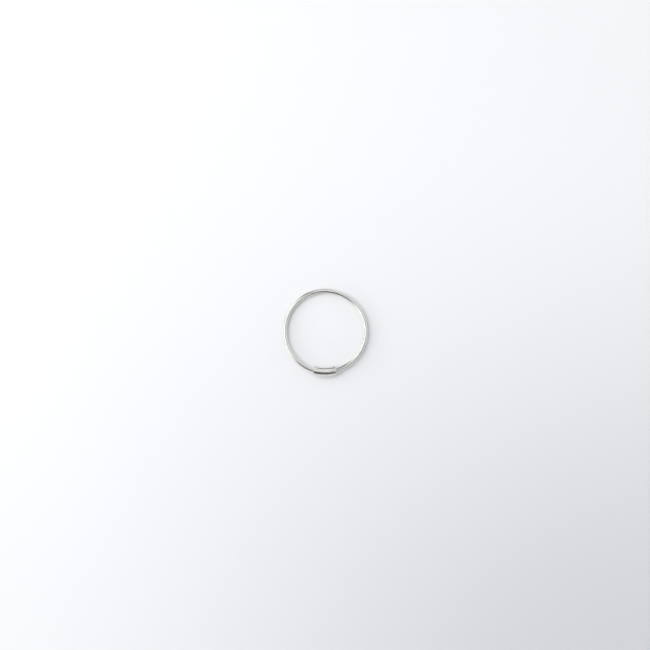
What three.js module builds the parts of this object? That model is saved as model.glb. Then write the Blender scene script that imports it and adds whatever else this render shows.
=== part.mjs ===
// Wire key ring: one turn of round spring wire formed into a hoop, and a short curved tube sleeve
// that slides along the wire and covers the split between the wire's two ends.
// Millimetres, +Z up. The hoop lies in the XY plane, centred on the origin, with its split at -Y.
import * as THREE from "three";

// Hoop
const hoopOuterDiameter = 25;
const wireDiameter = 1.4;
const splitGap = 0.4; // between the two ends, inside the sleeve
const tipRounding = 0.3; // dresses the edge of each cut end

// Sleeve
const sleeveLength = 6.6; // along the wire's centreline
const sleeveWall = 0.475;
const sleeveClearance = 0.2; // between wire and bore, all round
const mouthChamfer = 0.12; // inner edge of each mouth
const rimRounding = 0.15; // outer edge of each mouth

// Facets
const wireSides = 20;
const wireSteps = 128;
const sleeveSides = 28;
const sleeveSteps = 24;
const roundingSteps = 3;

// Worked out from the sizes above
const wireRadius = wireDiameter / 2;
const centrelineRadius = hoopOuterDiameter / 2 - wireRadius;
const centrelineLength = 2 * Math.PI * centrelineRadius;
const boreRadius = wireRadius + sleeveClearance;
const sleeveRadius = boreRadius + sleeveWall;

const brightWire = new THREE.MeshStandardMaterial({ color: 0xc9cac6, roughness: 0.16, metalness: 1 });
const brightTube = new THREE.MeshStandardMaterial({ color: 0xcfcfca, roughness: 0.2, metalness: 1 });

// Points of a quarter round of the given radius about (radius, along), from one angle to another.
function quarterRound(centreRadius, centreAlong, rounding, fromAngle, toAngle) {
  const points = [];
  for (let i = 0; i <= roundingSteps; i++) {
    const angle = fromAngle + ((toAngle - fromAngle) * i) / roundingSteps;
    points.push(
      new THREE.Vector2(centreRadius + rounding * Math.cos(angle), centreAlong + rounding * Math.sin(angle)),
    );
  }
  return points;
}

// Points strictly between two places along a straight cylinder wall.
function wallBetween(radius, fromAlong, toAlong, steps) {
  const points = [];
  for (let i = 1; i < steps; i++) {
    points.push(new THREE.Vector2(radius, fromAlong + ((toAlong - fromAlong) * i) / steps));
  }
  return points;
}

// Bends a straight turned piece, whose axis is Y, round the hoop's centre on its centreline.
// X becomes the way out from the centre, Y the way round, and Z stays the hoop's own axis.
function bendRoundHoop(straight) {
  const place = straight.getAttribute("position");
  for (let i = 0; i < place.count; i++) {
    const angle = place.getY(i) / centrelineRadius;
    const radius = centrelineRadius + place.getX(i);
    place.setXYZ(i, radius * Math.cos(angle), radius * Math.sin(angle), place.getZ(i));
  }
  straight.computeVertexNormals();
  return straight;
}

// The wire as it is cut: a straight rod a split gap short of the full turn, with dressed ends.
function cutWire() {
  const rounding = Math.min(tipRounding, wireRadius);
  const start = splitGap / 2;
  const end = centrelineLength - splitGap / 2;
  const shoulder = wireRadius - rounding;
  const profile = [
    new THREE.Vector2(0, start),
    ...quarterRound(shoulder, start + rounding, rounding, -Math.PI / 2, 0),
    ...wallBetween(wireRadius, start + rounding, end - rounding, wireSteps),
    ...quarterRound(shoulder, end - rounding, rounding, 0, Math.PI / 2),
    new THREE.Vector2(0, end),
  ];
  return new THREE.LatheGeometry(profile, wireSides);
}

// The sleeve as it is cut: a straight tube with rounded rims outside and chamfered mouths inside.
function cutTube() {
  const half = sleeveLength / 2;
  const rounding = Math.min(rimRounding, sleeveWall / 2);
  const chamfer = Math.min(mouthChamfer, sleeveWall / 2);
  const shoulder = sleeveRadius - rounding;
  const profile = [
    new THREE.Vector2(boreRadius + chamfer, -half),
    ...quarterRound(shoulder, -half + rounding, rounding, -Math.PI / 2, 0),
    ...wallBetween(sleeveRadius, -half + rounding, half - rounding, sleeveSteps),
    ...quarterRound(shoulder, half - rounding, rounding, 0, Math.PI / 2),
    new THREE.Vector2(boreRadius + chamfer, half),
    new THREE.Vector2(boreRadius, half - chamfer),
    ...wallBetween(boreRadius, half - chamfer, -half + chamfer, sleeveSteps),
    new THREE.Vector2(boreRadius, -half + chamfer),
  ];
  profile.push(profile[0].clone());
  return new THREE.LatheGeometry(profile, sleeveSides);
}

function wireHoop() {
  const hoop = new THREE.Mesh(bendRoundHoop(cutWire()), brightWire);
  hoop.name = "wire_hoop";
  return hoop;
}

function slideSleeve() {
  const sleeve = new THREE.Mesh(bendRoundHoop(cutTube()), brightTube);
  sleeve.name = "slide_sleeve";
  return sleeve;
}

const keyRing = new THREE.Group();
keyRing.add(wireHoop(), slideSleeve());
keyRing.rotation.z = -Math.PI / 2; // the bent pieces start at +X, and the split belongs at -Y

export default keyRing;
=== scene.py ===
import math

import bpy
import numpy as np
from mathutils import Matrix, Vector


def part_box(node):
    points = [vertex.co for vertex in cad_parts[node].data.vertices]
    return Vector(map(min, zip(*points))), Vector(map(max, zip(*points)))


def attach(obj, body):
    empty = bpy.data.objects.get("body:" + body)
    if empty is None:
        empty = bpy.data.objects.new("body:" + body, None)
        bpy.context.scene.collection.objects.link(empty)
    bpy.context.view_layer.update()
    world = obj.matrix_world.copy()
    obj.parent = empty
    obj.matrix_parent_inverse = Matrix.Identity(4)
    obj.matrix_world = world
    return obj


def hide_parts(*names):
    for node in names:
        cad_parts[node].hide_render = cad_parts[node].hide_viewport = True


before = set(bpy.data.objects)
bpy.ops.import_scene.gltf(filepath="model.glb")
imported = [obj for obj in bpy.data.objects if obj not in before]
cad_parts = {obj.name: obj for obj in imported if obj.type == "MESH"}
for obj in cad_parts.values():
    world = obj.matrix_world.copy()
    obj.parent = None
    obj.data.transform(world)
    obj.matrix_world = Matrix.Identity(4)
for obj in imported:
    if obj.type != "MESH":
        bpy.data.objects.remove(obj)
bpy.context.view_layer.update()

MM = 0.001
MICRON = 0.000001

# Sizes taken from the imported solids
_, hoop_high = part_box("wire_hoop")
_, sleeve_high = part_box("slide_sleeve")
WIRE_RADIUS = hoop_high.z
SLEEVE_RADIUS = sleeve_high.z
CENTRELINE_RADIUS = hoop_high.y - WIRE_RADIUS
CENTRELINE_LENGTH = 2 * math.pi * CENTRELINE_RADIUS

# Sizes that the solids hold inside
SPLIT_GAP = 0.4 * MM
TIP_ROUNDING = 0.3 * MM
SLEEVE_CLEARANCE = 0.2 * MM
MOUTH_CHAMFER = 0.12 * MM
RIM_ROUNDING = 0.15 * MM
BORE_RADIUS = WIRE_RADIUS + SLEEVE_CLEARANCE

# The sleeve's widest corners are where its flat ends meet the rounded rims.
SLEEVE_HALF_ANGLE = math.asin(sleeve_high.x / (CENTRELINE_RADIUS + SLEEVE_RADIUS - RIM_ROUNDING))
SLEEVE_HALF_LENGTH = SLEEVE_HALF_ANGLE * CENTRELINE_RADIUS

# Fineness of the meshes
WIRE_SIDES = 64
WIRE_STEPS = 900
SLEEVE_SIDES = 112
SLEEVE_STEPS = 96
ROUNDING_STEPS = 8
SHARP_ANGLE = math.radians(30)

# Colours of the metal, the paper and the backdrop, and of each where it is duller or in shade
METAL = (0.80, 0.803, 0.775)
METAL_TARNISHED = (0.73, 0.73, 0.69)
PAPER = (0.782, 0.787, 0.806)
PAPER_SHADED = (0.565, 0.572, 0.598)
SKY = (0.948, 0.955, 0.969)
SKY_SHADED = (0.700, 0.708, 0.732)


# Shader nodes

NOISE_ROUGHNESS = 0.55


class Nodes:
    """Adds nodes to one material's or world's tree, with their inputs set or linked by name."""

    def __init__(self, owner):
        owner.use_nodes = True
        self.tree = owner.node_tree
        self.tree.nodes.clear()

    def add(self, kind, inputs=(), **settings):
        """A node of a kind. Each input is a value, or the output that it is linked to."""
        made = self.tree.nodes.new(kind)
        for name, value in settings.items():
            setattr(made, name, value)
        for name, value in dict(inputs).items():
            socket = made.inputs[name]
            if isinstance(value, bpy.types.NodeSocket):
                self.tree.links.new(value, socket)
            else:
                socket.default_value = value
        return made

    def maths(self, operation, first, second=0.0):
        made = self.add("ShaderNodeMath", {0: first, 1: second}, operation=operation)
        return made.outputs["Value"]

    def ramp(self, value, low, high, to_low=0.0, to_high=1.0):
        """A smooth step of value, from to_low at low up to to_high at high."""
        made = self.add(
            "ShaderNodeMapRange",
            {"Value": value, "From Min": low, "From Max": high, "To Min": to_low, "To Max": to_high},
            interpolation_type="SMOOTHSTEP",
        )
        return made.outputs["Result"]

    def blend(self, factor, first, second):
        """A colour that goes from the first to the second with the factor."""
        made = self.add("ShaderNodeMix", data_type="RGBA")
        for socket, value in (("Factor_Float", factor), ("A_Color", first), ("B_Color", second)):
            target = next(s for s in made.inputs if s.identifier == socket)
            if isinstance(value, bpy.types.NodeSocket):
                self.tree.links.new(value, target)
            else:
                target.default_value = value if socket == "Factor_Float" else (*value, 1)
        return next(s for s in made.outputs if s.identifier == "Result_Color")

    def grain(self, place, size, detail=2.0, turn=(0.0, 0.0, 0.0)):
        """Noise whose blobs have the given size, in metres, along each axis of place."""
        mapped = self.add(
            "ShaderNodeMapping",
            {"Vector": place, "Rotation": turn, "Scale": tuple(1 / s for s in size)},
        )
        inputs = {"Scale": 1.0, "Detail": detail, "Roughness": NOISE_ROUGHNESS}
        noise = self.add("ShaderNodeTexNoise", {"Vector": mapped.outputs["Vector"], **inputs})
        return noise.outputs["Fac"]

    def bump(self, height, distance, normal=None, invert=False):
        """The normal of a surface raised by height, of 0 to 1, times the distance, over another normal."""
        under = {} if normal is None else {"Normal": normal}
        inputs = {"Height": height, "Distance": distance, **under}
        return self.add("ShaderNodeBump", inputs, invert=invert).outputs["Normal"]

    def surface(self, shader):
        self.add("ShaderNodeOutputMaterial", {"Surface": shader})

    def mixed_surface(self, share, first, second):
        """Gives the material a surface of two shaders, with the given share of the second."""
        mixed = self.add("ShaderNodeMixShader", {0: share, 1: first, 2: second})
        self.surface(mixed.outputs["Shader"])


def new_material(name):
    material = bpy.data.materials.new(name)
    return material, Nodes(material)


# Turned and bent meshes

# Each piece's finishes, and what each is called where faces are given theirs
WIRE_FINISHES = ("drawn_wire", "cut_tip")
DRAWN, TIP = range(2)
SLEEVE_FINISHES = ("polished_tube", "burnished_rim", "reamed_bore")
OUTSIDE, RIM, BORE = range(3)


def quarter_round(centre_radius, centre_along, rounding, start, end):
    """Points of a rounding about (radius, along), from one angle to another."""
    turns = np.linspace(start, end, ROUNDING_STEPS + 1)
    return [(centre_radius + rounding * math.cos(t), centre_along + rounding * math.sin(t)) for t in turns]


def wall(radius, start, end, steps):
    """Points strictly between two places along a straight cylinder wall."""
    return [(radius, along) for along in np.linspace(start, end, steps + 1)[1:-1]]


def bent_mesh(name, profile, faces_of, sides, stray=None):
    """Turns a straight profile of (radius, along) points and bends it round the hoop.

    faces_of gives each profile step's finish. stray gives how far a place on the hoop is off its true
    circle and plane. The place before bending is kept on the mesh for the finish to follow.
    """
    closed = profile[0][0] > 0
    verts, straight, rings = [], [], []
    for radius, along in profile:
        angle = along / CENTRELINE_RADIUS
        out_by, up_by = stray(angle) if stray else (0.0, 0.0)
        count = sides if radius > 0 else 1
        ring = []
        for k in range(count):
            turn = 2 * math.pi * k / sides
            out, up = radius * math.cos(turn), radius * math.sin(turn)
            reach = CENTRELINE_RADIUS + out + out_by
            ring.append(len(verts))
            verts.append((reach * math.sin(angle), -reach * math.cos(angle), up + up_by))
            straight.append((along, out, up))
        rings.append(ring * sides if count == 1 else ring)
    if closed:
        rings.append(rings[0])
    faces, slots = [], []
    for step, (first, second) in enumerate(zip(rings, rings[1:])):
        for k in range(sides):
            j = (k + 1) % sides
            corners = (first[k], second[k], second[j], first[j])
            faces.append(tuple(dict.fromkeys(corners)))
            slots.append(faces_of[step])
    mesh = bpy.data.meshes.new(name)
    mesh.from_pydata(verts, [], faces)
    unbent = mesh.attributes.new("straight", "FLOAT_VECTOR", "POINT")
    unbent.data.foreach_set("vector", np.ravel(straight))
    mesh.polygons.foreach_set("material_index", slots)
    mesh.shade_smooth()
    mesh.set_sharp_from_angle(angle=SHARP_ANGLE)
    mesh.update()
    piece = bpy.data.objects.new(name, mesh)
    bpy.context.scene.collection.objects.link(piece)
    return piece


# A hand-formed wire wanders a few hundredths of a millimetre: (waves round the hoop, out, up, phase)
WANDER = (
    (3, 14 * MICRON, 10 * MICRON, 0.4),
    (7, 9 * MICRON, 7 * MICRON, 1.9),
    (13, 5 * MICRON, 5 * MICRON, 3.1),
    (23, 2.5 * MICRON, 2.5 * MICRON, 5.2),
)


def hand_formed(angle):
    """How far the wire is off its true circle, outwards and upwards, at a place on the hoop."""
    out_by = sum(out * math.cos(waves * angle + phase) for waves, out, _, phase in WANDER)
    up_by = sum(up * math.sin(waves * angle + 2 * phase) for waves, _, up, phase in WANDER)
    return out_by, up_by


def make_wire():
    start, end = SPLIT_GAP / 2, CENTRELINE_LENGTH - SPLIT_GAP / 2
    shoulder = WIRE_RADIUS - TIP_ROUNDING
    drawn_start, drawn_end = start + TIP_ROUNDING, end - TIP_ROUNDING
    first_tip = [(0, start), *quarter_round(shoulder, drawn_start, TIP_ROUNDING, -math.pi / 2, 0)]
    last_tip = [*quarter_round(shoulder, drawn_end, TIP_ROUNDING, 0, math.pi / 2), (0, end)]
    drawn = wall(WIRE_RADIUS, drawn_start, drawn_end, WIRE_STEPS)
    profile = first_tip + drawn + last_tip
    tip_faces = [TIP] * (len(first_tip) - 1)
    faces_of = tip_faces + [DRAWN] * (len(drawn) + 1) + tip_faces
    return bent_mesh("bright_wire", profile, faces_of, WIRE_SIDES, hand_formed)


def make_sleeve():
    half = SLEEVE_HALF_LENGTH
    shoulder = SLEEVE_RADIUS - RIM_ROUNDING
    mouth = BORE_RADIUS + MOUTH_CHAMFER
    near_rim = quarter_round(shoulder, RIM_ROUNDING - half, RIM_ROUNDING, -math.pi / 2, 0)
    far_rim = quarter_round(shoulder, half - RIM_ROUNDING, RIM_ROUNDING, 0, math.pi / 2)
    outside = wall(SLEEVE_RADIUS, RIM_ROUNDING - half, half - RIM_ROUNDING, SLEEVE_STEPS)
    bore = wall(BORE_RADIUS, half - MOUTH_CHAMFER, MOUTH_CHAMFER - half, SLEEVE_STEPS)
    profile = [(mouth, -half), *near_rim, *outside, *far_rim, (mouth, half)]
    cut_end = [RIM] * (ROUNDING_STEPS + 1)
    faces_of = cut_end + [OUTSIDE] * (len(outside) + 1) + cut_end
    profile += [(BORE_RADIUS, half - MOUTH_CHAMFER), *bore, (BORE_RADIUS, MOUTH_CHAMFER - half)]
    faces_of += [RIM] + [BORE] * (len(bore) + 1) + [RIM]
    return bent_mesh("slide_tube", profile, faces_of, SLEEVE_SIDES)


# Finishes

# Size of the grain along the wire, out and up; least and most roughness; depth of the lines
FINISHES = {
    "drawn_wire": ((4 * MM, 0.09 * MM, 0.09 * MM), 0.10, 0.19, 1.0 * MICRON),
    "cut_tip": ((0.05 * MM, 0.3 * MM, 0.05 * MM), 0.28, 0.42, 2.5 * MICRON),
    "polished_tube": ((0.07 * MM, 1.2 * MM, 1.2 * MM), 0.11, 0.20, 0.6 * MICRON),
    "burnished_rim": ((0.04 * MM, 0.8 * MM, 0.8 * MM), 0.16, 0.26, 0.8 * MICRON),
    "reamed_bore": ((0.05 * MM, 0.9 * MM, 0.9 * MM), 0.34, 0.48, 2.0 * MICRON),
}
LINE_DETAIL = 4.0
LINE_FROM, LINE_TO = 0.3, 0.7
FINE_LINES_SHARE = 1 / 3

# Wear: long thin scratches from handling, and patches that have dulled a little
SCRATCH_SIZE = (1.6 * MM, 0.05 * MM, 0.05 * MM)
SCRATCH_TURNS = ((0.3, 0.5, 0.2), (1.1, -0.7, 0.9), (2.2, 0.9, -0.6))
SCRATCH_DETAIL = 1.0
SCRATCH_FROM, SCRATCH_TO = 0.70, 0.74
SCRATCH_DEPTH = 1.2 * MICRON
SCRATCH_ROUGHNESS = 0.18
PATCH_SIZE = (5 * MM, 1.7 * MM, 1.7 * MM)
PATCH_DETAIL = 3.0
PATCH_FROM, PATCH_TO = 0.5, 0.75
PATCH_ROUGHNESS = 0.05
PATCH_TARNISH = 0.45


def metal_finish(name):
    """Polished metal with its own fine grain, which follows the piece as it was before bending."""
    grain_size, smooth, rough, line_depth = FINISHES[name]
    material, nodes = new_material(name)
    place = nodes.add("ShaderNodeAttribute", attribute_name="straight").outputs["Vector"]
    lines = nodes.grain(place, grain_size, detail=LINE_DETAIL)
    fine = nodes.grain(place, tuple(s * FINE_LINES_SHARE for s in grain_size))
    patches = nodes.grain(place, PATCH_SIZE, detail=PATCH_DETAIL)
    dull = nodes.ramp(patches, PATCH_FROM, PATCH_TO)
    scratches = 0.0
    for turn in SCRATCH_TURNS:
        streak = nodes.grain(place, SCRATCH_SIZE, detail=SCRATCH_DETAIL, turn=turn)
        scratches = nodes.maths("MAXIMUM", nodes.ramp(streak, SCRATCH_FROM, SCRATCH_TO), scratches)
    roughness = nodes.ramp(lines, LINE_FROM, LINE_TO, smooth, rough)
    roughness = nodes.maths("ADD", roughness, nodes.maths("MULTIPLY", dull, PATCH_ROUGHNESS))
    roughness = nodes.maths("ADD", roughness, nodes.maths("MULTIPLY", scratches, SCRATCH_ROUGHNESS))
    colour = nodes.blend(nodes.maths("MULTIPLY", dull, PATCH_TARNISH), METAL, METAL_TARNISHED)
    height = nodes.maths("ADD", lines, nodes.maths("MULTIPLY", fine, FINE_LINES_SHARE))
    normal = nodes.bump(height, line_depth)
    normal = nodes.bump(scratches, SCRATCH_DEPTH, normal, invert=True)
    metal = nodes.add(
        "ShaderNodeBsdfPrincipled",
        {"Base Color": colour, "Roughness": roughness, "Metallic": 1.0, "Normal": normal},
    )
    nodes.surface(metal.outputs["BSDF"])
    return material


def finish_pieces():
    wire = make_wire()
    for name in WIRE_FINISHES:
        wire.data.materials.append(metal_finish(name))
    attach(wire, "hoop")
    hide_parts("wire_hoop")
    sleeve = make_sleeve()
    for name in SLEEVE_FINISHES:
        sleeve.data.materials.append(metal_finish(name))
    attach(sleeve, "sleeve")
    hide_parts("slide_sleeve")


finish_pieces()


# Floor: a sheet of paper that leans so that it touches the sleeve and the hoop's far side, wherever
# the sleeve has slid to. Its lean turns with the sleeve, and its tone stays where it is.

FLOOR_RADIUS = 1.5
FLOOR_RINGS = 40
FLOOR_SPOKES = 96
RING_CROWDING = 2  # power that draws the floor's rings together towards its middle
FLOOR_SLOPE = (SLEEVE_RADIUS - WIRE_RADIUS) / (2 * CENTRELINE_RADIUS)
FLOOR_DROP = (SLEEVE_RADIUS + WIRE_RADIUS) / 2

PAPER_ROUGHNESS = 0.85
PAPER_SPECULAR = 0.2
FIBRE_SIZE = (0.25 * MM, 0.25 * MM, 0.25 * MM)
FIBRE_DETAIL = 4.0
FIBRE_DEPTH = 4 * MICRON

# Between these distances the paper turns into the backdrop. Up to there the backdrop that is mixed in
# glows as brightly, against the paper's own colour, as the light makes the paper look.
FADE_START = 0.085
FADE_END = 0.8
PAPER_GLOW = 1.16

# The photograph's paper darkens softly towards its lower right corner, so to +X and to -Y.
SHADE_RIGHT = (-0.12, 0.10)
SHADE_DOWN = (0.06, -0.12)

# So does the backdrop, low down on that side: bounds on X minus Y, and on Z, of a unit vector.
SKY_SHADE_SIDE = (0.2, 1.4)
SKY_SHADE_TOP = (0.35, 0.0)


def backdrop_tone(nodes, direction):
    """The colour of the backdrop in the direction of a unit vector from the ring."""
    axes = nodes.add("ShaderNodeSeparateXYZ", {"Vector": direction}).outputs
    side = nodes.ramp(nodes.maths("SUBTRACT", axes["X"], axes["Y"]), *SKY_SHADE_SIDE)
    shade = nodes.maths("MULTIPLY", side, nodes.ramp(axes["Z"], *SKY_SHADE_TOP))
    return nodes.blend(shade, SKY, SKY_SHADED)


def make_floor():
    verts, faces = [(0.0, 0.0, -FLOOR_DROP)], []
    for ring in range(1, FLOOR_RINGS + 1):
        reach = FLOOR_RADIUS * (ring / FLOOR_RINGS) ** RING_CROWDING
        for spoke in range(FLOOR_SPOKES):
            angle = 2 * math.pi * spoke / FLOOR_SPOKES
            x, y = reach * math.cos(angle), reach * math.sin(angle)
            verts.append((x, y, FLOOR_SLOPE * y - FLOOR_DROP))
    for spoke in range(FLOOR_SPOKES):
        faces.append((0, 1 + spoke, 1 + (spoke + 1) % FLOOR_SPOKES))
    for ring in range(FLOOR_RINGS - 1):
        inner, outer = 1 + ring * FLOOR_SPOKES, 1 + (ring + 1) * FLOOR_SPOKES
        for spoke in range(FLOOR_SPOKES):
            after = (spoke + 1) % FLOOR_SPOKES
            faces.append((inner + spoke, outer + spoke, outer + after, inner + after))
    mesh = bpy.data.meshes.new("paper_floor")
    mesh.from_pydata(verts, [], faces)
    mesh.materials.append(paper_finish())
    floor = bpy.data.objects.new("paper_floor", mesh)
    bpy.context.scene.collection.objects.link(floor)
    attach(floor, "sleeve")


def paper_finish():
    """Pale paper, softly shaded towards one corner, which turns into the backdrop farther out."""
    material, nodes = new_material("paper")
    place = nodes.add("ShaderNodeNewGeometry").outputs["Position"]
    axes = nodes.add("ShaderNodeSeparateXYZ", {"Vector": place}).outputs
    distance = nodes.add("ShaderNodeVectorMath", {0: place}, operation="LENGTH").outputs["Value"]
    direction = nodes.add("ShaderNodeVectorMath", {0: place}, operation="NORMALIZE").outputs["Vector"]
    shade_right = nodes.ramp(axes["X"], *SHADE_RIGHT)
    shade_down = nodes.ramp(axes["Y"], *SHADE_DOWN)
    tone = nodes.blend(nodes.maths("MULTIPLY", shade_right, shade_down), PAPER, PAPER_SHADED)
    fibres = nodes.grain(place, FIBRE_SIZE, detail=FIBRE_DETAIL)
    paper = nodes.add(
        "ShaderNodeBsdfPrincipled",
        {
            "Base Color": tone,
            "Roughness": PAPER_ROUGHNESS,
            "Specular IOR Level": PAPER_SPECULAR,
            "Normal": nodes.bump(fibres, FIBRE_DEPTH),
        },
    )
    nearness = nodes.maths("DIVIDE", 1.0, distance)
    far = nodes.ramp(nearness, 1 / FADE_END, 1 / FADE_START, 1.0, 0.0)
    strength = nodes.ramp(nearness, 1 / FADE_END, 1 / FADE_START, 1.0, PAPER_GLOW)
    colour = nodes.blend(far, tone, backdrop_tone(nodes, direction))
    backdrop = nodes.add("ShaderNodeEmission", {"Color": colour, "Strength": strength})
    nodes.mixed_surface(far, paper.outputs["BSDF"], backdrop.outputs["Emission"])
    return material


make_floor()


# World: a pale light from all round, which is also the backdrop

def make_world():
    world = bpy.data.worlds.new("studio")
    bpy.context.scene.world = world
    nodes = Nodes(world)
    direction = nodes.add("ShaderNodeTexCoord").outputs["Generated"]
    colour = backdrop_tone(nodes, direction)
    background = nodes.add("ShaderNodeBackground", {"Color": colour, "Strength": 1.0})
    nodes.add("ShaderNodeOutputWorld", {"Surface": background.outputs["Background"]})


make_world()


# Lamp: a broad soft window, up and to the left, which the metal doesn't mirror

def towards(azimuth, elevation):
    """A unit vector towards a place in the sky, in degrees, azimuth from +X towards +Y."""
    a, e = math.radians(azimuth), math.radians(elevation)
    return Vector((math.cos(a) * math.cos(e), math.sin(a) * math.cos(e), math.sin(e)))


LAMP_AZIMUTH = 160
LAMP_ELEVATION = 55
LAMP_DISTANCE = 0.9
LAMP_WIDTH = 0.86
LAMP_POWER = 6.2


def make_lamp():
    data = bpy.data.lights.new("soft_window", "AREA")
    data.shape = "DISK"
    data.size = LAMP_WIDTH
    data.energy = LAMP_POWER
    lamp = bpy.data.objects.new("soft_window", data)
    direction = towards(LAMP_AZIMUTH, LAMP_ELEVATION)
    lamp.location = direction * LAMP_DISTANCE
    lamp.rotation_mode = "QUATERNION"
    lamp.rotation_quaternion = direction.to_track_quat("Z", "Y")
    lamp.visible_glossy = False
    bpy.context.scene.collection.objects.link(lamp)


make_lamp()


# Cards that the metal mirrors and the camera doesn't see, the nearest first. An elevation past the
# zenith says how solid the card still is there. (name, azimuths, elevations, soft edge in degrees, tone)
CARDS = (
    ("window_top", (120, 230), (60, 92), 12, 2.5),
    ("dark_card", (95, 300), (20, 115), 25, 0.15),
    ("window_foot", (120, 235), (5, 90), 15, 3.2),
    ("dark_strip", (75, 190), (-8, 22), 5, 0),
    ("low_strip", (135, 345), (18, 36), 5, 0),
    ("grey_card", (155, 455), (30, 80), 40, 0.25),
)
CARD_DISTANCE = 1.3
CARD_SPACING = 0.03
CARD_STEP = 1.5  # degrees between a card's points
FOOT_SHARPNESS = 2  # a card's lower edge is this much sharper than its others
ZENITH = 90


def smooth_step(x):
    x = min(max(x, 0.0), 1.0)
    return x * x * (3 - 2 * x)


def make_card(name, azimuths, elevations, soft, tone, distance):
    """A patch of a sphere round the ring, solid in its middle and fading out at its edges."""
    top = min(elevations[1], ZENITH)
    across = round((azimuths[1] - azimuths[0]) / CARD_STEP)
    up = round((top - elevations[0]) / CARD_STEP)
    verts, cover, faces = [], [], []
    for j in range(up + 1):
        elevation = elevations[0] + (top - elevations[0]) * j / up
        for i in range(across + 1):
            azimuth = azimuths[0] + (azimuths[1] - azimuths[0]) * i / across
            verts.append(towards(azimuth, elevation) * distance)
            side = min(azimuth - azimuths[0], azimuths[1] - azimuth)
            end = min(elevations[1] - elevation, FOOT_SHARPNESS * (elevation - elevations[0]))
            cover.append(smooth_step(side / soft) * smooth_step(end / soft))
    for j in range(up):
        for i in range(across):
            corner = j * (across + 1) + i
            faces.append((corner, corner + 1, corner + across + 2, corner + across + 1))
    mesh = bpy.data.meshes.new(name)
    mesh.from_pydata(verts, [], faces)
    mesh.attributes.new("cover", "FLOAT", "POINT").data.foreach_set("value", cover)
    material, nodes = new_material(name)
    fade = nodes.add("ShaderNodeAttribute", attribute_name="cover").outputs["Fac"]
    clear = nodes.add("ShaderNodeBsdfTransparent")
    glow = nodes.add("ShaderNodeEmission", {"Color": (1, 1, 1, 1), "Strength": tone})
    nodes.mixed_surface(fade, clear.outputs["BSDF"], glow.outputs["Emission"])
    mesh.materials.append(material)
    card = bpy.data.objects.new(name, mesh)
    card.visible_camera = False
    bpy.context.scene.collection.objects.link(card)


for row, (name, azimuths, elevations, soft, tone) in enumerate(CARDS):
    make_card(name, azimuths, elevations, soft, tone, CARD_DISTANCE + row * CARD_SPACING)


# Camera: straight above, placed so that the ring falls where the photograph has it

IMAGE_WIDTH_PX = 650
RING_CENTRE_PX = (324.9, 331.4)
RING_WIDTH_PX = 85.7
METRES_PER_PX = 2 * hoop_high.y / RING_WIDTH_PX
CAMERA_HEIGHT = 0.35
CLIP_START = 0.01
SENSOR_WIDTH = 36.0  # in millimetres, as the lens


def make_camera():
    data = bpy.data.cameras.new("camera")
    data.sensor_width = SENSOR_WIDTH
    data.lens = CAMERA_HEIGHT * SENSOR_WIDTH / (IMAGE_WIDTH_PX * METRES_PER_PX)
    data.clip_start = CLIP_START
    camera = bpy.data.objects.new("camera", data)
    middle = IMAGE_WIDTH_PX / 2
    camera.location = (
        (middle - RING_CENTRE_PX[0]) * METRES_PER_PX,
        (RING_CENTRE_PX[1] - middle) * METRES_PER_PX,
        CAMERA_HEIGHT,
    )
    bpy.context.scene.collection.objects.link(camera)
    bpy.context.scene.camera = camera


make_camera()

bpy.context.scene.view_settings.view_transform = "Standard"
